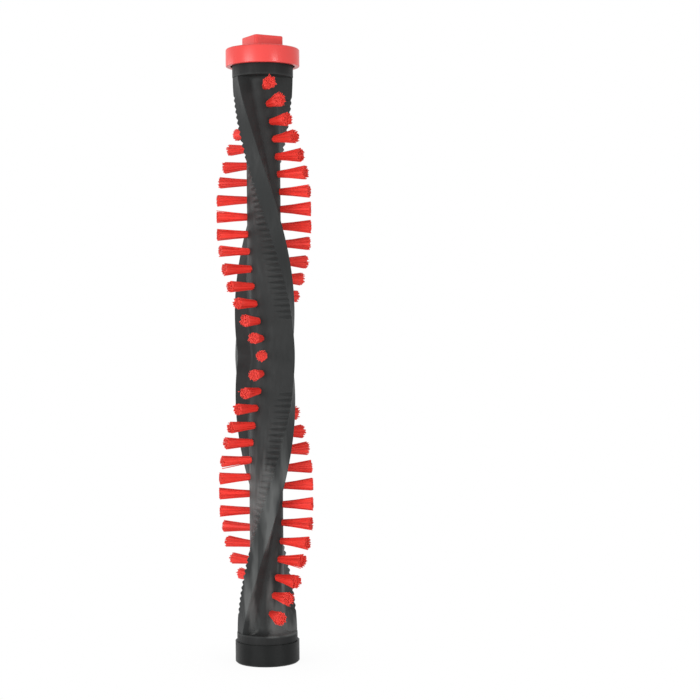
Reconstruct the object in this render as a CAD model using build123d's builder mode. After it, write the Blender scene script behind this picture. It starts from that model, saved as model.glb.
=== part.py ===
from build123d import *
import os
from itertools import zip_longest
from math import atan, degrees, sqrt

os.makedirs("parts", exist_ok=True)

# Roller brush of a stick vacuum cleaner, in millimetres and degrees. It stands on its drive end: the
# roller axis is Z, the origin is the centre of the drive-end face, and the front of the roller is -Y.

# Roller body: a core with two twisted fins, which turn back at the apex halfway up the fluted length
CORE_DIAMETER = 14.1
FIN_DIAMETER = 25.2
FIN_WIDTH = 7.0
FIN_ANGLE_FROM_ROW = -75.0
FIN_TUCK = 1.0
RAMP_FOOT_ANGLE = -73.0
RAMP_FOOT_TUCK = 0.2
HELIX_LEAD = 240.0
FLUTED_LENGTH = 232.0
RING_STEP = 0.1
LOWER_RING_HEIGHT = 3.7
LOWER_RUN_OUT = 2.5
UPPER_RING_HEIGHT = 6.8

# Teeth along the trailing edge of each fin, which run down its ramp
TOOTH_PITCH = 2.4
TOOTH_DEPTH = 0.65
TOOTH_GAP = 1.3
TOOTH_LENGTH = 5.0
SMOOTH_LENGTH_AT_APEX = 16.0
SMOOTH_LENGTH_AT_RING = 8.0

# Drive end cap: the black collar at the foot of the roller
COLLAR_STEP = 0.75
COLLAR_HEIGHT = 9.0
COLLAR_EDGE_CHAMFER = 0.6
SOCKET_DIAMETER = 8.0
SOCKET_END_WALL = 2.5
KEYWAY_COUNT = 3
KEYWAY_WIDTH = 1.6
KEYWAY_DEPTH = 1.2
SPIGOT_WALL = 1.2
SPIGOT_TOP_WALL = 0.7

# Bristle tufts: a front row with a tuft at the apex, and a back row that straddles it
BRUSH_DIAMETER = 39.5
TUFT_HOLE_WIDTH = 2.7
TUFT_TIP_WIDTH = 4.2
ROW_END_MARGIN = 4.0
FRONT_ROW_ANGLE = -93.3
FRONT_ROW_PITCH = 7.25
BACK_ROW_START_ABOVE = 3.6
BACK_ROW_PITCH_ABOVE = 7.2
BACK_ROW_START_BELOW = 2.6
BACK_ROW_PITCH_BELOW = 7.5

# Flat wire anchor across the bottom of each tuft's hole
ANCHOR_THICKNESS = 0.45
ANCHOR_HEIGHT = 1.3

# Bearing end: a steel stub axle in the core, and the red cap that turns on it
AXLE_DIAMETER = 4.0
AXLE_SEAT_DEPTH = 20.0
AXLE_TO_TUFT_WALL = 1.05
POCKET_FLOOR = 1.8
BUSH_WALL = 2.0
BUSH_LENGTH = 8.5
BOSS_WALL = 2.4
CAP_HEIGHT = 7.3
CAP_OVERLAP = 2.2
CAP_SKIRT_WALL = 2.0
CAP_PLATE_THICKNESS = 2.2
CAP_EDGE_CHAMFER = 0.6
LUG_SIDE = 13.3
LUG_HEIGHT = 5.1
LUG_CORNER_BEVEL = 1.0
LUG_EDGE_CHAMFER = 0.5
LUG_ANGLE = 27.4
LUG_TOP_WALL = 2.0

# Clearances: pressed or seated pieces, the turning fit on the axle, and room round what turns
SEAT_CLEARANCE = 0.03
RUNNING_CLEARANCE = 0.03
END_PLAY = 0.1
BOSS_CLEARANCE = 0.6
SKIRT_CLEARANCE = 0.7
AXLE_END_CLEARANCE = 0.6

# Heights up the roller axis
flute_bottom = COLLAR_HEIGHT + LOWER_RING_HEIGHT
half_length = FLUTED_LENGTH / 2
apex_height = flute_bottom + half_length
flute_top = flute_bottom + FLUTED_LENGTH
body_top = flute_top + UPPER_RING_HEIGHT
pocket_bottom = flute_top + POCKET_FLOOR
bush_bottom = pocket_bottom + END_PLAY
boss_bottom = bush_bottom + END_PLAY
cap_bottom = body_top - CAP_OVERLAP
cap_top = cap_bottom + CAP_HEIGHT
plate_underside = cap_top - CAP_PLATE_THICKNESS
lug_top = cap_top + LUG_HEIGHT
axle_bottom = pocket_bottom - AXLE_SEAT_DEPTH
axle_cavity_top = lug_top - LUG_TOP_WALL
axle_top = axle_cavity_top - AXLE_END_CLEARANCE
spigot_height = LOWER_RING_HEIGHT - SPIGOT_TOP_WALL
socket_depth = COLLAR_HEIGHT + spigot_height - SOCKET_END_WALL

# Radii from the roller axis
core_radius = CORE_DIAMETER / 2
fin_radius = FIN_DIAMETER / 2
land_distance = sqrt(fin_radius**2 - (FIN_WIDTH / 2) ** 2)
ring_radius = fin_radius + RING_STEP
collar_radius = ring_radius + COLLAR_STEP
socket_radius = SOCKET_DIAMETER / 2
keyway_radius = socket_radius + KEYWAY_DEPTH
spigot_apothem = keyway_radius + SPIGOT_WALL
axle_radius = AXLE_DIAMETER / 2
bush_bore_radius = axle_radius + RUNNING_CLEARANCE
bush_radius = bush_bore_radius + BUSH_WALL
boss_radius = bush_radius + BOSS_WALL
pocket_radius = boss_radius + BOSS_CLEARANCE
skirt_radius = ring_radius + SKIRT_CLEARANCE
cap_radius = skirt_radius + CAP_SKIRT_WALL
hole_bottom_radius = axle_radius + AXLE_TO_TUFT_WALL
anchor_radius = hole_bottom_radius + SEAT_CLEARANCE + ANCHOR_HEIGHT / 2
tuft_foot_radius = anchor_radius + ANCHOR_HEIGHT / 2 + SEAT_CLEARANCE
tuft_tip_radius = BRUSH_DIAMETER / 2
tuft_mouth_width = TUFT_HOLE_WIDTH - 2 * SEAT_CLEARANCE


def twist_at(height):
    """Angle that the flutes have turned at a height, the same way above and below the apex."""
    return -360 * abs(height - apex_height) / HELIX_LEAD


def row_offsets(start, pitch):
    """Distances from the apex of the tufts in half a row, as many as its length has room for."""
    room = half_length - ROW_END_MARGIN - start
    return [start + step * pitch for step in range(int(room / pitch) + 1)]


def tuft_place(offset, row_angle):
    """Place on the roller axis whose Z points out along a tuft and whose X points up the roller."""
    height = apex_height + offset
    outward = Vector(1, 0, 0).rotate(Axis.Z, row_angle + twist_at(height))
    return Plane(origin=(0, 0, height), x_dir=(0, 0, 1), z_dir=outward).location


front_half_row = row_offsets(FRONT_ROW_PITCH, FRONT_ROW_PITCH)
front_offsets = [-offset for offset in reversed(front_half_row)] + [0] + front_half_row
back_below = row_offsets(BACK_ROW_START_BELOW, BACK_ROW_PITCH_BELOW)
back_above = row_offsets(BACK_ROW_START_ABOVE, BACK_ROW_PITCH_ABOVE)
back_offsets = [-offset for offset in reversed(back_below)] + back_above
front_places = [tuft_place(offset, FRONT_ROW_ANGLE) for offset in front_offsets]
back_places = [tuft_place(offset, FRONT_ROW_ANGLE + 180) for offset in back_offsets]
tuft_places = front_places + back_places


# Section of both fins at the apex, one bar through the core: each fin has a steep leading flank, a flat land
# and a ramp that goes down to the core from its trailing corner
fin_angle = FRONT_ROW_ANGLE + FIN_ANGLE_FROM_ROW
fin_sweep_length = half_length + FIN_TUCK
leading_corner = Vector(land_distance, FIN_WIDTH / 2)
trailing_corner = Vector(land_distance, -FIN_WIDTH / 2)
ramp_foot = Vector(core_radius - RAMP_FOOT_TUCK, 0).rotate(Axis.Z, RAMP_FOOT_ANGLE)
leading_root = Vector(ramp_foot.X, FIN_WIDTH / 2)
half_section = [ramp_foot, trailing_corner, leading_corner, leading_root]
with BuildSketch(Plane.XY.offset(apex_height)) as fin_section:
    Polygon(*half_section, *[-corner for corner in half_section], align=None, rotation=fin_angle)
with BuildLine() as fin_path:
    Line((0, 0, apex_height), (0, 0, apex_height + fin_sweep_length))
with BuildLine() as twist_guide:
    Helix(HELIX_LEAD, fin_sweep_length, core_radius, center=(0, 0, apex_height), lefthand=True)

# One gap between teeth: a V groove that is deepest at the trailing corner and runs out down the ramp
ramp_way = (ramp_foot - trailing_corner).normalized()
gap_start = trailing_corner + Vector(ramp_way.Y, -ramp_way.X) * TOOTH_DEPTH
gap_end = trailing_corner + ramp_way * TOOTH_LENGTH
gap_way = (gap_end - gap_start).normalized()
with BuildPart() as tooth_gap:
    with BuildSketch(Plane(gap_start, x_dir=Vector(-gap_way.Y, gap_way.X), z_dir=gap_way)):
        Polygon((0, 0), (2 * TOOTH_DEPTH, TOOTH_GAP), (2 * TOOTH_DEPTH, -TOOTH_GAP), align=None)
    extrude(amount=2 * TOOTH_LENGTH, both=True)

toothed_length = half_length - SMOOTH_LENGTH_AT_APEX - SMOOTH_LENGTH_AT_RING
tooth_gap_heights = [
    apex_height + SMOOTH_LENGTH_AT_APEX + step * TOOTH_PITCH
    for step in range(int(toothed_length / TOOTH_PITCH) + 1)
]
tooth_gap_places = [
    Location((0, 0, height), (0, 0, fin_angle + twist_at(height) + side))
    for height in tooth_gap_heights
    for side in (0, 180)
]

# Blind square hole for one tuft, out along Z from the roller axis
with BuildPart() as tuft_hole:
    with BuildSketch(Plane.XY.offset(hole_bottom_radius)):
        Rectangle(TUFT_HOLE_WIDTH, TUFT_HOLE_WIDTH)
    extrude(amount=fin_radius - hole_bottom_radius)

# Roller body, moulded in one piece: toothed fins on a core with a full-round ring at each end
with BuildPart() as roller_body:
    sweep(sections=fin_section.sketch, path=fin_path.line, binormal=twist_guide.edge())
    with Locations(*tooth_gap_places):
        add(tooth_gap.part, mode=Mode.SUBTRACT)
    mirror(about=Plane.XY.offset(apex_height))
    with BuildSketch(Plane.XZ):
        Polygon(
            (0, COLLAR_HEIGHT),
            (ring_radius, COLLAR_HEIGHT),
            (ring_radius, flute_bottom),
            (core_radius + LOWER_RUN_OUT, flute_bottom),
            (core_radius, flute_bottom + LOWER_RUN_OUT),
            (core_radius, flute_top),
            (ring_radius, flute_top),
            (ring_radius, body_top),
            (pocket_radius, body_top),
            (pocket_radius, pocket_bottom),
            (0, pocket_bottom),
            align=None,
        )
    revolve(axis=Axis.Z)
    with Locations(*tuft_places):
        add(tuft_hole.part, mode=Mode.SUBTRACT)
    with BuildSketch(Plane.XY.offset(COLLAR_HEIGHT)):
        RegularPolygon(spigot_apothem + SEAT_CLEARANCE, 6, major_radius=False)
    extrude(amount=spigot_height + SEAT_CLEARANCE, mode=Mode.SUBTRACT)
    with BuildSketch(Plane.XY.offset(pocket_bottom)):
        Circle(axle_radius + SEAT_CLEARANCE)
    extrude(amount=-AXLE_SEAT_DEPTH, mode=Mode.SUBTRACT)
roller_body.part.label = "roller_body"
export_step(roller_body.part, "parts/roller_body.step")

# Drive end cap: a collar with a keyed drive socket and a hexagonal spigot
with BuildPart() as drive_end_cap:
    with BuildSketch(Plane.XZ):
        Polygon(
            (0, 0),
            (collar_radius - COLLAR_EDGE_CHAMFER, 0),
            (collar_radius, COLLAR_EDGE_CHAMFER),
            (collar_radius, COLLAR_HEIGHT),
            (0, COLLAR_HEIGHT),
            align=None,
        )
    revolve(axis=Axis.Z)
    with BuildSketch(Plane.XY.offset(COLLAR_HEIGHT)):
        RegularPolygon(spigot_apothem, 6, major_radius=False)
    extrude(amount=spigot_height)
    with BuildSketch(Plane.XY):
        Circle(socket_radius)
        with PolarLocations(keyway_radius / 2, KEYWAY_COUNT):
            Rectangle(keyway_radius, KEYWAY_WIDTH)
    extrude(amount=socket_depth, mode=Mode.SUBTRACT)
drive_end_cap.part.label = "drive_end_cap"
export_step(drive_end_cap.part, "parts/drive_end_cap.step")

# Stub axle: a steel pin pressed in the core, on which the bearing cap turns
with BuildPart() as stub_axle:
    with BuildSketch(Plane.XY.offset(axle_bottom)):
        Circle(axle_radius)
    extrude(amount=axle_top - axle_bottom)
stub_axle.part.label = "stub_axle"
export_step(stub_axle.part, "parts/stub_axle.step")

# Bearing bush: sintered bronze, pressed in the cap and running on the axle
with BuildPart() as bearing_bush:
    with BuildSketch(Plane.XY.offset(bush_bottom)):
        Circle(bush_radius)
        Circle(bush_bore_radius, mode=Mode.SUBTRACT)
    extrude(amount=BUSH_LENGTH)
bearing_bush.part.label = "bearing_bush"
export_step(bearing_bush.part, "parts/bearing_bush.step")

# Bearing cap: a skirt over the roller's end, a boss for the bush and a square lug that the nozzle holds
with BuildPart() as bearing_cap:
    with BuildSketch(Plane.XZ):
        Polygon(
            (0, boss_bottom),
            (boss_radius, boss_bottom),
            (boss_radius, plate_underside),
            (skirt_radius, plate_underside),
            (skirt_radius, cap_bottom),
            (cap_radius, cap_bottom),
            (cap_radius, cap_top - CAP_EDGE_CHAMFER),
            (cap_radius - CAP_EDGE_CHAMFER, cap_top),
            (0, cap_top),
            align=None,
        )
    revolve(axis=Axis.Z)
    with BuildSketch(Plane.XY.offset(cap_top)):
        lug_outline = Rectangle(LUG_SIDE, LUG_SIDE, rotation=LUG_ANGLE)
        chamfer(lug_outline.vertices(), LUG_CORNER_BEVEL)
    extrude(amount=LUG_HEIGHT)
    lug_end = bearing_cap.faces().sort_by(Axis.Z)[-1]
    chamfer(lug_end.edges(), LUG_EDGE_CHAMFER)
    with BuildSketch(Plane.XY.offset(boss_bottom)):
        Circle(bush_radius + SEAT_CLEARANCE)
    extrude(amount=axle_cavity_top - boss_bottom, mode=Mode.SUBTRACT)
bearing_cap.part.label = "bearing_cap"
export_step(bearing_cap.part, "parts/bearing_cap.step")

# One tuft along Z, flaring evenly from its anchor to the tip; the thin fold under the anchor is left out
tuft_flare = degrees(atan((TUFT_TIP_WIDTH - tuft_mouth_width) / 2 / (tuft_tip_radius - core_radius)))
with BuildPart() as tuft:
    with BuildSketch(Plane.XY.offset(tuft_foot_radius)):
        Rectangle(tuft_mouth_width, tuft_mouth_width)
    extrude(amount=tuft_tip_radius - tuft_foot_radius)
    tuft_flanks = tuft.faces().filter_by(Axis.Z, reverse=True)
    draft(tuft_flanks, Plane.XY.offset(core_radius), -tuft_flare)

# Tufts, a pair at each station up the roller: one of the front row and one of the back row
for station, places in enumerate(zip_longest(front_places, back_places), start=1):
    with BuildPart() as tuft_pair:
        with Locations(*[place for place in places if place]):
            add(tuft.part)
    name = f"tuft_pair_{station:02d}"
    tuft_pair.part.label = name
    export_step(tuft_pair.part, f"parts/{name}.step")

# Anchors: short flat wires across the bottom of the holes, one under each tuft
with BuildPart() as anchor:
    with Locations((0, 0, anchor_radius)):
        Box(ANCHOR_THICKNESS, tuft_mouth_width, ANCHOR_HEIGHT)
with BuildPart() as tuft_anchors:
    with Locations(*tuft_places):
        add(anchor.part)
tuft_anchors.part.label = "tuft_anchors"
export_step(tuft_anchors.part, "parts/tuft_anchors.step")
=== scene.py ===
from math import atan, atan2, cos, pi, radians, sin, sqrt, tan

import bmesh
import bpy
from mathutils import Matrix, Vector


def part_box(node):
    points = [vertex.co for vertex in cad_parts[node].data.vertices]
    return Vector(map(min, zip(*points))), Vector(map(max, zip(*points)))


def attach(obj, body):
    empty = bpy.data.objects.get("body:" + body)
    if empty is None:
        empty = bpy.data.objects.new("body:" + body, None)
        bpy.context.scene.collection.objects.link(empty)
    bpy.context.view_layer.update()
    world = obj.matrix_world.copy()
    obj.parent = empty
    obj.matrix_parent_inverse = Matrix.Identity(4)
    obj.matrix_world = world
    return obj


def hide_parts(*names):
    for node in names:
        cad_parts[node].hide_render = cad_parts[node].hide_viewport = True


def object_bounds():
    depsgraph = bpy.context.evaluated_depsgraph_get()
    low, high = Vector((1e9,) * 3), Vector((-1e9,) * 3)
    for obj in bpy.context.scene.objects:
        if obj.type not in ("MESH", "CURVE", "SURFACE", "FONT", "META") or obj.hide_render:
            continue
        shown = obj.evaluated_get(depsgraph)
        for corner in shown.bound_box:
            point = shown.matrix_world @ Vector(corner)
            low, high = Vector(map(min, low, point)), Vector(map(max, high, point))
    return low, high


# The frame: a roller brush of a stick vacuum cleaner, which stands on its drive end with its axis on Z.
# Its red cap is the one moving piece, and turns about that axis. Sizes below are in metres.
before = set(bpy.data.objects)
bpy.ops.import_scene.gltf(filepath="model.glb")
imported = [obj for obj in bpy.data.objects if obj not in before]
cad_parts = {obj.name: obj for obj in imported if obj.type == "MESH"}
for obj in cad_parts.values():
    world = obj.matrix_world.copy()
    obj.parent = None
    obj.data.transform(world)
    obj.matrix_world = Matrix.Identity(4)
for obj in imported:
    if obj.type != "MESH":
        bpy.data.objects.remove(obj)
cad_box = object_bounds()
MM = 0.001

# Roller body: one moulding in stiff black plastic, a solid core with two twisted fins and a ring at each
# end. The twist turns back halfway up, so that the fins make a V. Each fin has a steep leading flank, a
# flat land and a ramp down to the core behind it, with teeth along the corner that run down the ramp.
CORE_RADIUS = 7.05 * MM
FIN_RADIUS = 12.6 * MM
FIN_WIDTH = 7.0 * MM
FIN_ROOT_ROUNDING = 2.0 * MM
FIN_EDGE_ROUNDING = 0.3 * MM
FIN_ANGLE = radians(-168.3)
FIN_TUCK = 1.0 * MM
RAMP_FOOT_ANGLE = radians(-73)
RAMP_FOOT_TUCK = 0.2 * MM
TWIST_LEAD = 240 * MM
FLUTED_LENGTH = 232 * MM
APEX_ROUNDING = 7 * MM
TOOTH_PITCH = 2.4 * MM
TOOTH_DEPTH = 0.85 * MM
TOOTH_GAP = 2.1 * MM
TOOTH_LENGTH = 8 * MM
TOOTH_START = 16 * MM
TOOTH_STOP = 108.4 * MM
LOWER_RING_HEIGHT = 3.7 * MM
LOWER_RING_ROUNDING = 3.2 * MM
UPPER_RING_HEIGHT = 6.8 * MM
UPPER_RING_ROUNDING = 1.6 * MM
RING_EDGE_ROUNDING = 0.3 * MM
RING_TUCK = 1 * MM
BEARING_POCKET_RADIUS = 7.03 * MM
BEARING_POCKET_DEPTH = 5 * MM
BODY_SHARP_ANGLE = radians(32)

body_low, body_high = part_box("roller_body")
ring_radius = body_high.x
flute_bottom = body_low.z + LOWER_RING_HEIGHT
flute_top = body_high.z - UPPER_RING_HEIGHT
apex_height = (flute_bottom + flute_top) / 2


def plug(tree, socket, feed):
    """Feeds a socket with a value, with another node's first output or with an output."""
    if isinstance(feed, bpy.types.Node):
        feed = [output for output in feed.outputs if output.enabled][0]
    if isinstance(feed, bpy.types.NodeSocket):
        tree.links.new(feed, socket)
    elif feed is not None:
        socket.default_value = feed


def add_node(tree, kind, *feeds, **settings):
    """Adds a node and feeds its sockets in their order; None leaves a socket as it is."""
    node = tree.nodes.new(kind)
    for setting, value in settings.items():
        setattr(node, setting, value)
    sockets = [socket for socket in node.inputs if socket.enabled]
    for socket, feed in zip(sockets, feeds):
        plug(tree, socket, feed)
    return node


def math(operation, *feeds):
    """Adds a Math node to the tree that is being built."""
    return add_node(tree, "ShaderNodeMath", *feeds, operation=operation)


def new_finish(name):
    """Makes a material; returns it with its tree and its surface node."""
    material = bpy.data.materials.new(name)
    material.use_nodes = True
    return material, material.node_tree, material.node_tree.nodes["Principled BSDF"]


def dress(tree, surface, colour, roughness, metallic=0, specular=0.5):
    """Gives a surface its colour, roughness, metal and gloss."""
    plug(tree, surface.inputs["Base Color"], colour)
    plug(tree, surface.inputs["Roughness"], roughness)
    surface.inputs["Metallic"].default_value = metallic
    surface.inputs["Specular IOR Level"].default_value = specular


def object_place(tree, along=1):
    """Object coordinates, scaled along the roller: below 1, what is laid on them is drawn out."""
    coordinates = tree.nodes.new("ShaderNodeTexCoord").outputs["Object"]
    return add_node(tree, "ShaderNodeMapping", coordinates, None, None, (1, 1, along))


def grain(tree, scale, detail, along=1):
    """Soft noise from 0 to 1, drawn out along the roller where along is below 1."""
    return add_node(tree, "ShaderNodeTexNoise", object_place(tree, along), scale, detail).outputs["Fac"]


def ranged(tree, value, start, stop, low=0, high=1):
    """Goes from low to high as a value goes from start to stop."""
    return add_node(tree, "ShaderNodeMapRange", value, start, stop, low, high)


def spread(tree, noise, low, high, noise_low=0.3, noise_high=0.7):
    """Noise spread over a range, from the middle values where most of it lies."""
    return ranged(tree, noise, noise_low, noise_high, low, high)


def colour_between(tree, value, first, second):
    """Colour that goes from the first to the second as a value goes from 0 to 1."""
    ramp = add_node(tree, "ShaderNodeValToRGB", value)
    ramp.color_ramp.elements[0].color = (*first, 1)
    ramp.color_ramp.elements[1].color = (*second, 1)
    return ramp.outputs["Color"]


def mixed(tree, amount, first, second):
    """The first colour with an amount, from 0 to 1, of the second."""
    return add_node(tree, "ShaderNodeMix", amount, first, second, data_type="RGBA")


def bump(tree, surface, height, distance, strength):
    """Raises a surface by a height from 0 to 1."""
    raised = add_node(tree, "ShaderNodeBump", strength, distance)
    plug(tree, raised.inputs["Height"], height)
    plug(tree, surface.inputs["Normal"], raised)


# The plastic is semi-gloss and a little wavy; pale streaks on the lower half are painted highlight,
# darker rings painted shade.
BODY_BLACKS = (0.016, 0.0172, 0.0172), (0.026, 0.0275, 0.0275)
BODY_DRAW = 0.22
# Painted highlight: the pale grey of the streaks, which fade in below a height on the lower half.
PAINTED_HIGHLIGHT_GREY = (0.075, 0.078, 0.077, 1)
HIGHLIGHT_TOP = 105 * MM
HIGHLIGHT_FULL = 75 * MM
HIGHLIGHT_FAINT = 0.48
HIGHLIGHT_STRONG = 0.6
# Painted shade: the darker black laid on the rings at both ends of the moulding.
RING_PAINTED_SHADE = (0.010, 0.0105, 0.0105, 1)
RING_SHADE_BLEND = 1 * MM

roller_plastic, tree, surface = new_finish("roller_plastic")
mottle = grain(tree, scale=260, detail=3, along=BODY_DRAW)
scuff = grain(tree, scale=900, detail=2, along=BODY_DRAW)
highlight_noise = grain(tree, scale=120, detail=3, along=BODY_DRAW)
level = add_node(tree, "ShaderNodeSeparateXYZ", object_place(tree)).outputs["Z"]
# Painted highlight: grey streaks mixed in on the lower half, for the light that falls there from low
# down.
lower_highlight_mask = ranged(tree, level, HIGHLIGHT_TOP, HIGHLIGHT_FULL)
painted_highlight_streaks = math("MULTIPLY", lower_highlight_mask, ranged(tree, highlight_noise, HIGHLIGHT_FAINT, HIGHLIGHT_STRONG))
# Painted shade: beyond the flutes the rings are painted darker than the rest of the moulding.
from_middle = math("ABSOLUTE", math("SUBTRACT", level, apex_height))
ring_shade_mask = ranged(tree, from_middle, FLUTED_LENGTH / 2, FLUTED_LENGTH / 2 + RING_SHADE_BLEND)
highlighted_black = mixed(tree, painted_highlight_streaks, colour_between(tree, mottle, *BODY_BLACKS), PAINTED_HIGHLIGHT_GREY)
body_black_with_painted_light = mixed(tree, ring_shade_mask, highlighted_black, RING_PAINTED_SHADE)
body_roughness = spread(tree, scuff, low=0.48, high=0.62)
dress(tree, surface, body_black_with_painted_light, body_roughness, specular=0.14)
bump(tree, surface, mottle, distance=0.35 * MM, strength=0.4)

half_width = FIN_WIDTH / 2
land = sqrt(FIN_RADIUS**2 - half_width**2)
trailing_corner = Vector((land, -half_width))
ramp_foot = Matrix.Rotation(RAMP_FOOT_ANGLE, 2) @ Vector((CORE_RADIUS - RAMP_FOOT_TUCK, 0))
ramp_way = (ramp_foot - trailing_corner).normalized()


def points_between(start, stop, steps):
    """Evenly spaced points from a start up to a stop, which is left out."""
    return [start.lerp(stop, step / steps) for step in range(steps)]


def arc_points(centre, radius, start, stop, steps):
    """Points round an arc, both ends included."""
    turns = [start + (stop - start) * step / steps for step in range(steps + 1)]
    return [centre + Vector((cos(turn), sin(turn))) * radius for turn in turns]


def fin_section(ramp_steps=14, land_steps=16, edge_steps=3, root_steps=5, core_steps=9):
    """Points round the section of both fins and the core, with its edges and roots rounded."""
    ramp_out = Vector((-ramp_way.y, ramp_way.x))
    along = trailing_corner.dot(ramp_way)
    ramp_stop = trailing_corner - ramp_way * (along + sqrt(along**2 - FIN_RADIUS**2 + CORE_RADIUS**2))
    rounding = FIN_EDGE_ROUNDING
    trailing_up = rounding * (1 - ramp_out.x) / -ramp_out.y - half_width
    trailing_centre = Vector((land - rounding, trailing_up))
    leading_centre = Vector((land - rounding, half_width - rounding))
    land_start = Vector((land, trailing_up))
    land_stop = Vector((land, leading_centre.y))
    root_up = half_width + FIN_ROOT_ROUNDING
    root_centre = Vector((sqrt((CORE_RADIUS + FIN_ROOT_ROUNDING) ** 2 - root_up**2), root_up))
    root_turn = atan2(root_centre.y, root_centre.x)
    ramp_turn = atan2(ramp_out.y, ramp_out.x)
    core_stop = pi + atan2(ramp_stop.y, ramp_stop.x)
    points = points_between(ramp_stop, trailing_centre + ramp_out * rounding, ramp_steps)
    points += arc_points(trailing_centre, rounding, ramp_turn, 0, edge_steps)
    points += points_between(land_start, land_stop, land_steps)[1:]
    points += arc_points(leading_centre, rounding, 0, pi / 2, edge_steps)
    points += arc_points(root_centre, FIN_ROOT_ROUNDING, -pi / 2, root_turn - pi, root_steps)
    points += arc_points(Vector((0, 0)), CORE_RADIUS, root_turn, core_stop, core_steps)[1:-1]
    return points + [-point for point in points]


def sized_tree(name, sizes):
    """Geometry Nodes tree with these sizes as named inputs, and the outputs that give them inside it."""
    tree = bpy.data.node_groups.new(name, "GeometryNodeTree")
    tree.interface.new_socket("Geometry", in_out="INPUT", socket_type="NodeSocketGeometry")
    for size, value in sizes.items():
        kind = "NodeSocketInt" if isinstance(value, int) else "NodeSocketFloat"
        tree.interface.new_socket(size, in_out="INPUT", socket_type=kind)
    tree.interface.new_socket("Geometry", in_out="OUTPUT", socket_type="NodeSocketGeometry")
    return tree, tree.nodes.new("NodeGroupInput").outputs


def close_tree(tree, geometry, material):
    """Ends a tree in plain geometry with its material set."""
    plain = add_node(tree, "GeometryNodeRealizeInstances", geometry)
    painted = add_node(tree, "GeometryNodeSetMaterial", plain, None, material)
    add_node(tree, "NodeGroupOutput", painted)


def grow(name, start_mesh, tree, sizes):
    """Object whose plain mesh a tree has made from a start mesh, with these sizes."""
    piece = bpy.data.objects.new(name, start_mesh)
    bpy.context.collection.objects.link(piece)
    modifier = piece.modifiers.new(name, "NODES")
    modifier.node_group = tree
    for item in tree.interface.items_tree:
        if item.in_out == "INPUT" and item.name in sizes:
            modifier[item.identifier] = sizes[item.name]
    depsgraph = bpy.context.evaluated_depsgraph_get()
    mesh = bpy.data.meshes.new_from_object(piece.evaluated_get(depsgraph), depsgraph=depsgraph)
    piece.modifiers.clear()
    piece.data = mesh
    return piece


# The fins are a sheet of rows and columns, rolled into the section, twisted and cut by the tooth gaps.
FIN_ROWS = 760
SHEET_SIDE = 1
MERGE_DISTANCE = 0.002 * MM

section = fin_section()
section_mesh = bpy.data.meshes.new("fin_section")
section_mesh.from_pydata([(point.x, point.y, 0) for point in section], [], [])
gap_start = trailing_corner + Vector((ramp_way.y, -ramp_way.x)) * TOOTH_DEPTH
gap_way = trailing_corner + ramp_way * TOOTH_LENGTH - gap_start
fin_sizes = {
    "Section Points": len(section),
    "Rows": FIN_ROWS,
    "Foot Height": flute_bottom - FIN_TUCK,
    "Length": FLUTED_LENGTH + 2 * FIN_TUCK,
    "Apex Height": apex_height,
    "Apex Rounding": APEX_ROUNDING,
    "Twist Lead": TWIST_LEAD,
    "Fin Angle": FIN_ANGLE,
    "Gap Across": gap_start.x,
    "Gap Up": gap_start.y,
    "Gap Normal": atan2(gap_way.x, -gap_way.y),
    "Tooth Pitch": TOOTH_PITCH,
    "Tooth Depth": TOOTH_DEPTH,
    "Tooth Gap": TOOTH_GAP,
    "Tooth Start": TOOTH_START,
    "Tooth Stop": TOOTH_STOP,
}
tree, size = sized_tree("twisted_toothed_fins", fin_sizes)

columns = math("ADD", size["Section Points"], 1)
index = tree.nodes.new("GeometryNodeInputIndex")
column = math("FLOORED_MODULO", index, columns)
row = math("FLOOR", math("DIVIDE", index, columns))
climb = math("DIVIDE", row, math("SUBTRACT", size["Rows"], 1))
height = math("MULTIPLY_ADD", climb, size["Length"], size["Foot Height"])
above_apex = math("SUBTRACT", height, size["Apex Height"])
from_apex = math("SMOOTH_MAX", above_apex, math("MULTIPLY", above_apex, -1), size["Apex Rounding"])
turns = math("DIVIDE", from_apex, size["Twist Lead"])
twist = math("MULTIPLY_ADD", turns, -2 * pi, size["Fin Angle"])

position = tree.nodes.new("GeometryNodeInputPosition")
section_column = math("FLOORED_MODULO", column, size["Section Points"])
section_point = add_node(
    tree, "GeometryNodeSampleIndex", size["Geometry"], position, section_column, data_type="FLOAT_VECTOR"
)
across = add_node(tree, "ShaderNodeSeparateXYZ", section_point)
fin_side = math("SIGN", across.outputs["X"])
fin_x = math("MULTIPLY", across.outputs["X"], fin_side)
fin_y = math("MULTIPLY", across.outputs["Y"], fin_side)

past_start = math("SUBTRACT", from_apex, size["Tooth Start"])
half_pitch = math("DIVIDE", size["Tooth Pitch"], 2)
from_gap = math("ABSOLUTE", math("WRAP", past_start, half_pitch, math("MULTIPLY", half_pitch, -1)))
gap_slope = math("DIVIDE", size["Tooth Depth"], math("DIVIDE", size["Tooth Gap"], 2))
before_teeth = math("LESS_THAN", past_start, math("MULTIPLY", half_pitch, -1))
after_teeth = math("GREATER_THAN", from_apex, size["Tooth Stop"])
gap_height = math("MULTIPLY_ADD", from_gap, gap_slope, math("ADD", before_teeth, after_teeth))

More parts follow.
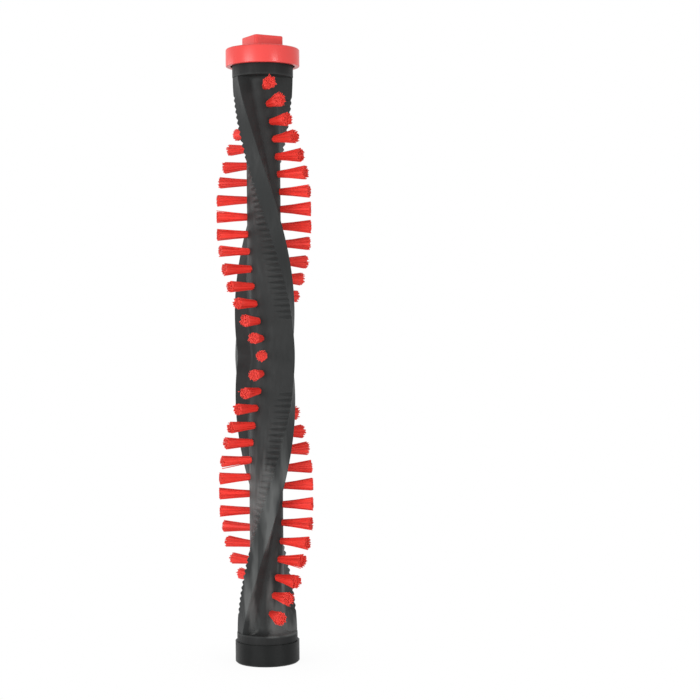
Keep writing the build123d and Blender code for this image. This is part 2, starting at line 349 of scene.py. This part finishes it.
normal_x = math("COSINE", size["Gap Normal"])
normal_y = math("SINE", size["Gap Normal"])
stand_x = math("MULTIPLY", math("SUBTRACT", fin_x, size["Gap Across"]), normal_x)
stand_y = math("MULTIPLY", math("SUBTRACT", fin_y, size["Gap Up"]), normal_y)
stand = math("SUBTRACT", math("ADD", stand_x, stand_y), gap_height)
cut = math("MULTIPLY", math("MAXIMUM", stand, 0), -1)
cut_x = math("MULTIPLY", math("MULTIPLY_ADD", cut, normal_x, fin_x), fin_side)
cut_y = math("MULTIPLY", math("MULTIPLY_ADD", cut, normal_y, fin_y), fin_side)
cut_point = add_node(tree, "ShaderNodeCombineXYZ", cut_x, cut_y)
turned_point = add_node(tree, "ShaderNodeVectorRotate", cut_point, None, twist, rotation_type="Z_AXIS")
lift = add_node(tree, "ShaderNodeCombineXYZ", None, None, height)
place = add_node(tree, "ShaderNodeVectorMath", turned_point, lift, operation="ADD")
sheet = add_node(tree, "GeometryNodeMeshGrid", SHEET_SIDE, SHEET_SIDE, size["Rows"], columns)
fins = add_node(tree, "GeometryNodeSetPosition", sheet, None, place)
joined = add_node(tree, "GeometryNodeMergeByDistance", fins, None, MERGE_DISTANCE)
close_tree(tree, joined, roller_plastic)
roller_body = grow("roller_moulding", section_mesh, tree, fin_sizes)


def rounded(corners, steps=5):
    """Closed outline through (across, up, rounding) corners, each with an arc of its rounding."""
    outline = []
    for number, (across, up, rounding) in enumerate(corners):
        corner = Vector((across, up))
        if rounding == 0:
            outline.append(corner)
            continue
        to_last = (Vector(corners[number - 1][:2]) - corner).normalized()
        to_next = (Vector(corners[(number + 1) % len(corners)][:2]) - corner).normalized()
        half = to_last.angle(to_next) / 2
        centre = corner + (to_last + to_next).normalized() * rounding / sin(half)
        arm = corner + to_last * rounding / tan(half) - centre
        turn = (pi - 2 * half) * (1 if to_last.cross(to_next) < 0 else -1)
        for step in range(steps + 1):
            outline.append(centre + Matrix.Rotation(turn * step / steps, 2) @ arm)
    return outline


def add_lathe(shape, outline, segments=128):
    """Adds a closed outline of (radius, height) points, turned about the roller axis, to a shape."""
    rings = []
    for number in range(segments):
        angle = 2 * pi * number / segments
        rings.append([shape.verts.new((p.x * cos(angle), p.x * sin(angle), p.y)) for p in outline])
    for number, ring in enumerate(rings):
        after = rings[(number + 1) % segments]
        for step in range(len(outline)):
            shape.faces.new((ring[step - 1], after[step - 1], after[step], ring[step]))


def finish_shape(shape, mesh, sharp_angle):
    """Writes a closed shape to a mesh: doubles merged, faces outwards, smooth up to an angle."""
    bmesh.ops.remove_doubles(shape, verts=shape.verts, dist=MERGE_DISTANCE)
    bmesh.ops.dissolve_degenerate(shape, edges=shape.edges, dist=MERGE_DISTANCE / 2)
    bmesh.ops.recalc_face_normals(shape, faces=shape.faces)
    shape.to_mesh(mesh)
    shape.free()
    mesh.shade_smooth()
    mesh.set_sharp_from_angle(angle=sharp_angle)


# Each ring is an outline turned about the axis, and its skin ends inside the core.
inside = CORE_RADIUS - RING_TUCK
lower_ring = [
    (0, body_low.z, 0),
    (ring_radius, body_low.z, 0),
    (ring_radius, flute_bottom, RING_EDGE_ROUNDING),
    (CORE_RADIUS, flute_bottom, LOWER_RING_ROUNDING),
    (CORE_RADIUS, flute_bottom + 2 * LOWER_RING_ROUNDING, 0),
    (inside, flute_bottom + 2 * LOWER_RING_ROUNDING, 0),
    (0, flute_bottom + LOWER_RING_ROUNDING, 0),
]
upper_ring = [
    (0, flute_top - UPPER_RING_ROUNDING, 0),
    (inside, flute_top - 2 * UPPER_RING_ROUNDING, 0),
    (CORE_RADIUS, flute_top - 2 * UPPER_RING_ROUNDING, 0),
    (CORE_RADIUS, flute_top, UPPER_RING_ROUNDING),
    (ring_radius, flute_top, RING_EDGE_ROUNDING),
    (ring_radius, body_high.z, RING_EDGE_ROUNDING),
    (BEARING_POCKET_RADIUS, body_high.z, 0),
    (BEARING_POCKET_RADIUS, body_high.z - BEARING_POCKET_DEPTH, 0),
    (0, body_high.z - BEARING_POCKET_DEPTH, 0),
]
shape = bmesh.new()
shape.from_mesh(roller_body.data)
bmesh.ops.holes_fill(shape, edges=[edge for edge in shape.edges if edge.is_boundary], sides=0)
add_lathe(shape, rounded(lower_ring))
add_lathe(shape, rounded(upper_ring))
finish_shape(shape, roller_body.data, BODY_SHARP_ANGLE)
roller_body.data.materials.clear()
roller_body.data.materials.append(roller_plastic)
for face in roller_body.data.polygons:
    face.material_index = 0
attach(roller_body, "roller")
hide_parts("roller_body")

# Anchors: short flat wires driven across the bottom of the tufts' holes, over the fold of each tuft.
# They are bright drawn steel, and hidden by the bristles.
ANCHOR_STEELS = (0.5, 0.49, 0.47), (0.64, 0.63, 0.61)

anchor_wire, tree, surface = new_finish("anchor_wire")
drawing = grain(tree, scale=1500, detail=2)
dress(tree, surface, colour_between(tree, drawing, *ANCHOR_STEELS), roughness=0.3, metallic=1)
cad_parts["tuft_anchors"].material_slots[0].material = anchor_wire

# Bristle tufts: 62 tufts of red nylon bristles, in two rows that follow the twist between the fins.
# Each tuft is folded in half over its anchor, fans out from its hole and is trimmed to the brush's
# diameter, which leaves the tips a little ragged. The tips are painted paler, partly for fraying and
# partly as painted light. The back row is more splayed by wear.
BRISTLES_IN_TUFT = 130
BRISTLE_THICKNESS = 0.36 * MM
BRISTLE_SIDES = 4
BRISTLE_STATIONS = 3
TUFT_FOOT_RADIUS = 4.41 * MM
FRONT_ROW_ANGLE = radians(-93.3)
FRONT_FOOT_WIDTH = 2.4 * MM
FRONT_TIP_WIDTH = 4.7 * MM
BACK_FOOT_WIDTH = 2.1 * MM
BACK_TIP_WIDTH = 5.6 * MM
FAN_CURVE = 1.25
TUFT_LEAN = 0.35 * MM
TIP_SCATTER = 0.22 * MM
STRAY_REACH = 0.7 * MM
STRAY_RARITY = 14
TRIM_SPREAD = 0.35 * MM
TRIM_RARITY = 2
HEART_SHARE = 0.86
HEART_DROP = 0.7 * MM
HEART_SIDES = 14
HEART_SHADE = 0.4
TUFT_SEED = 7
NYLON_REDS = (0.61, 0.020, 0.014), (0.76, 0.046, 0.032)
# Paler tip red: partly fraying and partly painted light, for highlights and the white that shows through
# the thin tips.
FRAYED_AND_LIT_TIP_RED = (0.80, 0.12, 0.09, 1)
TIP_START = 0.7
TIP_AMOUNT = 0.15

bristle_nylon, tree, surface = new_finish("bristle_nylon")
shade = add_node(tree, "ShaderNodeAttribute", attribute_name="shade").outputs["Fac"]
along = add_node(tree, "ShaderNodeAttribute", attribute_name="along").outputs["Fac"]
# Paler tips: partly fraying and partly painted light, for highlights and the white that shows through
# the thin tips.
tip_fray_and_light = ranged(tree, along, TIP_START, 1, 0, TIP_AMOUNT)
bristle_red = mixed(tree, tip_fray_and_light, colour_between(tree, shade, *NYLON_REDS), FRAYED_AND_LIT_TIP_RED)
dress(tree, surface, bristle_red, roughness=0.5, specular=0.2)

# Each tuft's place is read from the outer corners of its solid, two tufts to a node.
OUTER_SHARE = 0.95
tuft_nodes = sorted(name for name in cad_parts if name.startswith("tuft_pair"))
tuft_tips = []
for name in tuft_nodes:
    corners = [vertex.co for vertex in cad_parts[name].data.vertices]
    reach = max(corner.xy.length for corner in corners)
    outer = [corner for corner in corners if corner.xy.length > OUTER_SHARE * reach]
    for side in (1, -1):
        tip_corners = [corner for corner in outer if corner.xy.dot(outer[0].xy) * side > 0]
        if tip_corners:
            tuft_tips.append(sum(tip_corners, Vector()) / len(tip_corners))

outward = [Vector((tip.x, tip.y, 0)).normalized() for tip in tuft_tips]
brush_radius = max(tip.xy.length for tip in tuft_tips)
feet = [Vector((0, 0, tip.z)) + way * TUFT_FOOT_RADIUS for tip, way in zip(tuft_tips, outward)]
feet_mesh = bpy.data.meshes.new("tuft_feet")
feet_mesh.from_pydata(feet, [], [])
feet_mesh.attributes.new("outward", "FLOAT_VECTOR", "POINT")
feet_mesh.attributes.new("front", "FLOAT", "POINT")
for number, (tip, way) in enumerate(zip(tuft_tips, outward)):
    twist_back = 2 * pi * abs(tip.z - apex_height) / TWIST_LEAD
    in_front_row = cos(atan2(way.y, way.x) + twist_back - FRONT_ROW_ANGLE) > 0
    feet_mesh.attributes["outward"].data[number].vector = way
    feet_mesh.attributes["front"].data[number].value = float(in_front_row)

tuft_sizes = {
    "Bristles in Tuft": BRISTLES_IN_TUFT,
    "Stations": BRISTLE_STATIONS,
    "Bristle Thickness": BRISTLE_THICKNESS,
    "Tuft Length": brush_radius - TUFT_FOOT_RADIUS,
    "Front Foot Width": FRONT_FOOT_WIDTH,
    "Front Tip Width": FRONT_TIP_WIDTH,
    "Back Foot Width": BACK_FOOT_WIDTH,
    "Back Tip Width": BACK_TIP_WIDTH,
    "Tuft Lean": TUFT_LEAN,
    "Tip Scatter": TIP_SCATTER,
    "Stray Reach": STRAY_REACH,
    "Trim Spread": TRIM_SPREAD,
    "Heart Share": HEART_SHARE,
    "Heart Drop": HEART_DROP,
    "Seed": TUFT_SEED,
}
tree, size = sized_tree("bristle_tufts", tuft_sizes)


def vector(operation, *feeds):
    """Adds a Vector Math node to the tree that is being built."""
    return add_node(tree, "ShaderNodeVectorMath", *feeds, operation=operation)


def chance(low, high, offset):
    """Random number for each point, from the tree's seed and an offset of its own."""
    seed = math("ADD", size["Seed"], offset)
    return add_node(tree, "FunctionNodeRandomValue", low, high, None, seed, data_type="FLOAT")


def keep(geometry, name, value, kind):
    """Stores a value on each point, so that the points made from it carry it on."""
    return add_node(tree, "GeometryNodeStoreNamedAttribute", geometry, None, name, value, data_type=kind)


def kept(name, kind):
    """Reads a value that the points carry."""
    return add_node(tree, "GeometryNodeInputNamedAttribute", name, data_type=kind)


def keep_number(geometry, name):
    """Stores each point's own number on it."""
    return keep(geometry, name, tree.nodes.new("GeometryNodeInputIndex"), "INT")


def copies(geometry, count):
    """Makes each point a number of points in one place."""
    return add_node(tree, "GeometryNodeDuplicateElements", geometry, None, count, domain="POINT")


def tubes(points, group, sides, radius, scale=None):
    """Closed tubes through the points, one for each number that a group of them carries."""
    number = kept(group, "INT")
    curves = add_node(tree, "GeometryNodePointsToCurves", points, number, kept("along", "FLOAT"))
    outline = add_node(tree, "GeometryNodeCurvePrimitiveCircle", sides, radius, mode="RADIUS")
    return add_node(tree, "GeometryNodeCurveToMesh", curves, outline, scale, True)


along_roller = add_node(tree, "ShaderNodeCombineXYZ", 0, 0, 1)
way_out = kept("outward", "FLOAT_VECTOR")
way_round = vector("CROSS_PRODUCT", along_roller, way_out)
in_front = kept("front", "FLOAT")


def row_half_width(front_width, back_width):
    """Half the width of a tuft, which differs between the front row and the back row."""
    change = math("SUBTRACT", front_width, back_width)
    return math("DIVIDE", math("MULTIPLY_ADD", in_front, change, back_width), 2)


def across_tuft(angle, distance):
    """Step across a tuft, of a distance and at an angle to the roller axis."""
    up = vector("SCALE", along_roller, math("MULTIPLY", math("COSINE", angle), distance))
    aside = vector("SCALE", way_round, math("MULTIPLY", math("SINE", angle), distance))
    return vector("ADD", up, aside)


foot_half = row_half_width(size["Front Foot Width"], size["Back Foot Width"])
tip_half = row_half_width(size["Front Tip Width"], size["Back Tip Width"])
feet_points = add_node(tree, "GeometryNodeMeshToPoints", size["Geometry"])
lean = across_tuft(chance(0, 2 * pi, 1), size["Tuft Lean"])
leaning = keep(feet_points, "lean", lean, "FLOAT_VECTOR")

bundle = copies(leaning, size["Bristles in Tuft"])
spot = across_tuft(chance(0, 2 * pi, 2), math("SQRT", chance(0, 1, 3)))
scatter_angle = chance(0, 2 * pi, 4)
stray = math("MULTIPLY", math("POWER", chance(0, 1, 5), STRAY_RARITY), size["Stray Reach"])
scatter = math("ADD", math("MULTIPLY", chance(0, 1, 6), size["Tip Scatter"]), stray)
fan = vector("ADD", vector("SCALE", spot, tip_half), kept("lean", "FLOAT_VECTOR"))
fanned = vector("ADD", fan, across_tuft(scatter_angle, scatter))
trim = math("MULTIPLY", math("POWER", chance(0, 1, 7), TRIM_RARITY), size["Trim Spread"])
tip_out = vector("SCALE", way_out, math("SUBTRACT", size["Tuft Length"], trim))

bristles = keep(bundle, "foot", vector("SCALE", spot, foot_half), "FLOAT_VECTOR")
bristles = keep(bristles, "tip", vector("ADD", fanned, tip_out), "FLOAT_VECTOR")
bristles = keep(bristles, "shade", chance(0, 1, 8), "FLOAT")
stations = copies(keep_number(bristles, "bristle"), size["Stations"])
climb = math("DIVIDE", stations.outputs["Duplicate Index"], math("SUBTRACT", size["Stations"], 1))
strands = keep(stations, "along", climb, "FLOAT")
spread_out = math("POWER", climb, FAN_CURVE)
tip_now = kept("tip", "FLOAT_VECTOR")
out_now = vector("SCALE", way_out, vector("DOT_PRODUCT", tip_now, way_out).outputs["Value"])
aside_now = vector("SUBTRACT", tip_now, out_now)
from_foot = vector("SCALE", kept("foot", "FLOAT_VECTOR"), math("SUBTRACT", 1, spread_out))
to_tip = vector("ADD", vector("SCALE", out_now, climb), vector("SCALE", aside_now, spread_out))
placed = add_node(tree, "GeometryNodeSetPosition", strands, None, None, vector("ADD", from_foot, to_tip))
bristle_radius = math("DIVIDE", size["Bristle Thickness"], 2)
bristles_solid = tubes(placed, "bristle", BRISTLE_SIDES, bristle_radius)

# A solid heart fills each tuft behind its outer bristles, and stops short of their tips.
heart_ends = copies(keep_number(leaning, "heart"), 2)
heart_ends = keep(heart_ends, "along", heart_ends.outputs["Duplicate Index"], "FLOAT")
heart_ends = keep(heart_ends, "shade", HEART_SHADE, "FLOAT")
heart_length = math("SUBTRACT", size["Tuft Length"], size["Heart Drop"])
heart_line = vector("ADD", vector("SCALE", way_out, heart_length), kept("lean", "FLOAT_VECTOR"))
heart_reach = vector("SCALE", heart_line, kept("along", "FLOAT"))
heart_placed = add_node(tree, "GeometryNodeSetPosition", heart_ends, None, None, heart_reach)
heart_flare = math("SUBTRACT", tip_half, foot_half)
heart_width = math("MULTIPLY_ADD", kept("along", "FLOAT"), heart_flare, foot_half)
heart_radius = math("MULTIPLY", heart_width, size["Heart Share"])
hearts_solid = tubes(heart_placed, "heart", HEART_SIDES, radius=1, scale=heart_radius)
tufts = add_node(tree, "GeometryNodeJoinGeometry", bristles_solid)
plug(tree, tufts.inputs["Geometry"], hearts_solid)
close_tree(tree, tufts, bristle_nylon)
bristle_rows = grow("bristle_rows", feet_mesh, tree, tuft_sizes)
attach(bristle_rows, "roller")
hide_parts(*tuft_nodes)

# Drive end cap: the black collar on the foot of the roller, with the keyed socket for the drive in it.
# It is moulded in the same plastic with a satin finish, and its hexagonal spigot is pressed in the body.
COLLAR_BLACKS = (0.0025, 0.003, 0.003), (0.006, 0.0065, 0.0065)

collar_plastic, tree, surface = new_finish("collar_plastic")
spark = grain(tree, scale=2600, detail=2)
cloud = grain(tree, scale=210, detail=3, along=0.6)
collar_black = colour_between(tree, cloud, *COLLAR_BLACKS)
collar_roughness = spread(tree, cloud, low=0.34, high=0.5)
dress(tree, surface, collar_black, collar_roughness, specular=0.15)
bump(tree, surface, spark, distance=0.02 * MM, strength=0.5)
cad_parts["drive_end_cap"].material_slots[0].material = collar_plastic

# Stub axle and bush: a turned steel pin pressed in the core, and the bronze bush that runs on it.
# The bush is pressed in the cap, and both are hidden by it.
AXLE_STEELS = (0.46, 0.46, 0.45), (0.6, 0.6, 0.59)
BUSH_BRONZES = (0.30, 0.17, 0.07), (0.47, 0.29, 0.14)

axle_steel, tree, surface = new_finish("axle_steel")
turning = grain(tree, scale=90, detail=2, along=30)
dress(tree, surface, colour_between(tree, turning, *AXLE_STEELS), roughness=0.28, metallic=1)
bump(tree, surface, turning, distance=0.01 * MM, strength=0.4)
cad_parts["stub_axle"].material_slots[0].material = axle_steel

bush_bronze, tree, surface = new_finish("bush_bronze")
pores = grain(tree, scale=4200, detail=2)
dress(tree, surface, colour_between(tree, pores, *BUSH_BRONZES), roughness=0.5, metallic=1)
bump(tree, surface, pores, distance=0.02 * MM, strength=0.6)
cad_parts["bearing_bush"].material_slots[0].material = bush_bronze

# Bearing cap: the red cap that the nozzle holds still by its square lug while the roller turns in it.
# It is moulded in glossy red plastic with softly rounded edges, and its skirt covers the roller's end.
CAP_HEIGHT = 7.3 * MM
CAP_PLATE = 2.2 * MM
CAP_EDGE_ROUNDING = 0.7 * MM
CAP_ROOT_ROUNDING = 0.4 * MM
SKIRT_WALL = 2.0 * MM
SKIRT_OVERLAP = 2.2 * MM
SKIRT_INNER_ROUNDING = 0.25 * MM
SKIRT_OUTER_ROUNDING = 0.35 * MM
BOSS_RADIUS = 6.43 * MM
BOSS_EDGE_ROUNDING = 0.2 * MM
BUSH_SEAT_RADIUS = 4.06 * MM
LUG_SIDE = 13.3 * MM
LUG_TOP_WALL = 2.0 * MM
LUG_CORNER_ROUNDING = 1.5 * MM
LUG_EDGE_ROUNDING = 0.5 * MM
LUG_EDGE_STEPS = 4
LUG_ANGLE = radians(27.4)
CAP_SHARP_ANGLE = radians(35)
CAP_REDS = (0.58, 0.046, 0.041), (0.65, 0.058, 0.052)

cap_low, cap_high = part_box("bearing_cap")
cap_radius = cap_high.x
skirt_radius = cap_radius - SKIRT_WALL
cap_bottom = body_high.z - SKIRT_OVERLAP
cap_top = cap_bottom + CAP_HEIGHT
plate_bottom = cap_top - CAP_PLATE

cap_plastic, tree, surface = new_finish("cap_plastic")
flow = grain(tree, scale=120, detail=3, along=0.5)
peel = grain(tree, scale=700, detail=2)
cap_red = colour_between(tree, flow, *CAP_REDS)
cap_roughness = spread(tree, flow, low=0.26, high=0.36)
dress(tree, surface, cap_red, cap_roughness, specular=0.3)
bump(tree, surface, peel, distance=0.012 * MM, strength=0.4)


def add_stack(shape, rings):
    """Adds a closed skin over rings of points, which are stacked up and have as many points each."""
    layers = [[shape.verts.new(point) for point in ring] for ring in rings]
    for below, above in zip(layers, layers[1:]):
        for number in range(len(below)):
            shape.faces.new((below[number - 1], below[number], above[number], above[number - 1]))
    shape.faces.new(layers[0])
    shape.faces.new(layers[-1])


def lug_ring(inset, height):
    """Rounded square round the lug, drawn in by an inset, at a height."""
    half = LUG_SIDE / 2 - inset
    rounding = LUG_CORNER_ROUNDING - inset
    square = [(half * x, half * y, rounding) for x, y in ((1, 1), (-1, 1), (-1, -1), (1, -1))]
    turned = [Matrix.Rotation(LUG_ANGLE, 2) @ point for point in rounded(square)]
    return [(point.x, point.y, height) for point in turned]


def bore_ring(height):
    """Circle round the bore under the lug, with a point for each point of the lug's outline."""
    aims = [Vector(point[:2]).normalized() * BUSH_SEAT_RADIUS for point in lug_ring(0, 0)]
    return [(aim.x, aim.y, height) for aim in aims]


cap_outline = [
    (BUSH_SEAT_RADIUS, cap_low.z, 0),
    (BOSS_RADIUS, cap_low.z, BOSS_EDGE_ROUNDING),
    (BOSS_RADIUS, plate_bottom, CAP_ROOT_ROUNDING),
    (skirt_radius, plate_bottom, CAP_ROOT_ROUNDING),
    (skirt_radius, cap_bottom, SKIRT_INNER_ROUNDING),
    (cap_radius, cap_bottom, SKIRT_OUTER_ROUNDING),
    (cap_radius, cap_top, CAP_EDGE_ROUNDING),
    (BUSH_SEAT_RADIUS, cap_top, 0),
]
lug_foot = cap_top - CAP_PLATE / 2
lug_rings = [bore_ring(cap_high.z - LUG_TOP_WALL), bore_ring(lug_foot), lug_ring(0, lug_foot)]
for step in range(LUG_EDGE_STEPS + 1):
    turn = step * pi / (2 * LUG_EDGE_STEPS)
    lug_inset = LUG_EDGE_ROUNDING * (1 - cos(turn))
    lug_rings.append(lug_ring(lug_inset, cap_high.z + LUG_EDGE_ROUNDING * (sin(turn) - 1)))

bearing_cap = bpy.data.objects.new("red_bearing_cap", bpy.data.meshes.new("red_bearing_cap"))
bpy.context.collection.objects.link(bearing_cap)
shape = bmesh.new()
add_lathe(shape, rounded(cap_outline))
add_stack(shape, lug_rings)
bearing_cap.data.materials.append(cap_plastic)
finish_shape(shape, bearing_cap.data, CAP_SHARP_ANGLE)
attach(bearing_cap, "end_block")
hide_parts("bearing_cap")

# Studio: a white floor under the roller and white all round. The floor is plain paper near the roller,
# where it takes the shadow, and goes over to the white behind. A large soft box in front on the left
# gives the light, with a rim light behind it and small boxes for the right side and the foot.
WORLD_FILL = 0.68
FLOOR_BOUNCE = 0.8
FLOOR_SIZE = 6.0
FLOOR_GAP = 0.05 * MM
PAPER_WHITE = (0.97, 0.97, 0.97, 1)
PLAIN_WHITE = (1, 1, 1, 1)
SHADOW_REACH = 60 * MM
GLOW_AT_ROLLER = 0.92


def seen_white():
    """One for rays from the camera and for those that mirror or pass through, none for the others."""
    ray = tree.nodes.new("ShaderNodeLightPath").outputs
    mirrored = math("ADD", ray["Is Camera Ray"], ray["Is Glossy Ray"])
    through = math("ADD", mirrored, ray["Is Transmission Ray"])
    return math("MINIMUM", through, 1)


floor_paper = bpy.data.materials.new("floor_paper")
floor_paper.use_nodes = True
tree = floor_paper.node_tree
tree.nodes.clear()
paper = add_node(tree, "ShaderNodeBsdfDiffuse", PAPER_WHITE)
glow_strength = ranged(tree, seen_white(), 0, 1, FLOOR_BOUNCE, 1)
glow = add_node(tree, "ShaderNodeEmission", PLAIN_WHITE, glow_strength)
coordinates = tree.nodes.new("ShaderNodeTexCoord").outputs["Object"]
far = vector("LENGTH", coordinates).outputs["Value"]
blend = ranged(tree, far, 0, SHADOW_REACH, GLOW_AT_ROLLER, 1)
blend.interpolation_type = "SMOOTHSTEP"
add_node(tree, "ShaderNodeOutputMaterial", add_node(tree, "ShaderNodeMixShader", blend, paper, glow))

half = FLOOR_SIZE / 2
floor_corners = [(half * x, half * y, 0) for x, y in ((-1, -1), (1, -1), (1, 1), (-1, 1))]
floor_mesh = bpy.data.meshes.new("floor")
floor_mesh.from_pydata(floor_corners, [], [(0, 1, 2, 3)])
floor_mesh.materials.append(floor_paper)
floor = bpy.data.objects.new("floor", floor_mesh)
floor.location.z = cad_box[0].z - FLOOR_GAP
bpy.context.collection.objects.link(floor)

world = bpy.data.worlds.new("white_studio")
bpy.context.scene.world = world
world.use_nodes = True
tree = world.node_tree
background = tree.nodes["Background"]
background.inputs["Color"].default_value = PLAIN_WHITE
plug(tree, background.inputs["Strength"], ranged(tree, seen_white(), 0, 1, WORLD_FILL, 1))


def soft_box(name, place, aim, width, height, power):
    """Rectangular lamp at a place, turned to face an aim."""
    lamp = bpy.data.lights.new(name, "AREA")
    lamp.shape = "RECTANGLE"
    lamp.size = width
    lamp.size_y = height
    lamp.energy = power
    box = bpy.data.objects.new(name, lamp)
    box.location = place
    box.rotation_euler = (Vector(aim) - Vector(place)).to_track_quat("-Z", "Y").to_euler()
    bpy.context.collection.objects.link(box)


middle = (0, 0, (cad_box[0].z + cad_box[1].z) / 2)
upper_part = (0, 0, 0.2)
lower_part = (0, 0, 0.06)
foot = (0, 0, 0.05)
soft_box("left_soft_box", (-0.6, -0.65, 0.2), middle, width=0.4, height=0.35, power=4.7)
soft_box("left_rim_box", (-0.6, 0.3, 0.14), middle, width=0.3, height=0.3, power=1.6)
soft_box("high_right_soft_box", (0.32, -0.42, 0.24), upper_part, width=0.12, height=0.08, power=0.6)
soft_box("low_left_soft_box", (-0.2, -0.7, 0.05), lower_part, width=0.2, height=0.08, power=0.6)
soft_box("low_right_soft_box", (0.28, -0.35, 0.04), foot, width=0.12, height=0.06, power=0.5)

# Camera: a little above the middle of the roller, turned and dipped so that the roller stands left of
# the middle of the picture, and tipped as the roller leans in it. Its sensor is in millimetres.
PICTURE_WIDTH = 700
FOCAL_PIXELS = 1650
ROLLER_PIXEL_X = 265
EYE_LEVEL_PIXEL_Y = 312
SENSOR_WIDTH = 36
CAMERA_DISTANCE = 693 * MM
CAMERA_HEIGHT = 146.7 * MM
ROLLER_LEAN = radians(0.43)

lens = bpy.data.cameras.new("camera")
lens.sensor_width = SENSOR_WIDTH
lens.lens = SENSOR_WIDTH * FOCAL_PIXELS / PICTURE_WIDTH
turn = atan((PICTURE_WIDTH / 2 - ROLLER_PIXEL_X) / FOCAL_PIXELS)
dip = atan((PICTURE_WIDTH / 2 - EYE_LEVEL_PIXEL_Y) / FOCAL_PIXELS)
camera = bpy.data.objects.new("camera", lens)
camera.location = (0, -CAMERA_DISTANCE, CAMERA_HEIGHT)
aimed = Matrix.Rotation(-turn, 3, "Z") @ Matrix.Rotation(pi / 2 - dip, 3, "X")
camera.rotation_euler = (aimed @ Matrix.Rotation(-ROLLER_LEAN, 3, "Z")).to_euler()
bpy.context.collection.objects.link(camera)
bpy.context.scene.camera = camera
bpy.context.scene.view_settings.view_transform = "Standard"
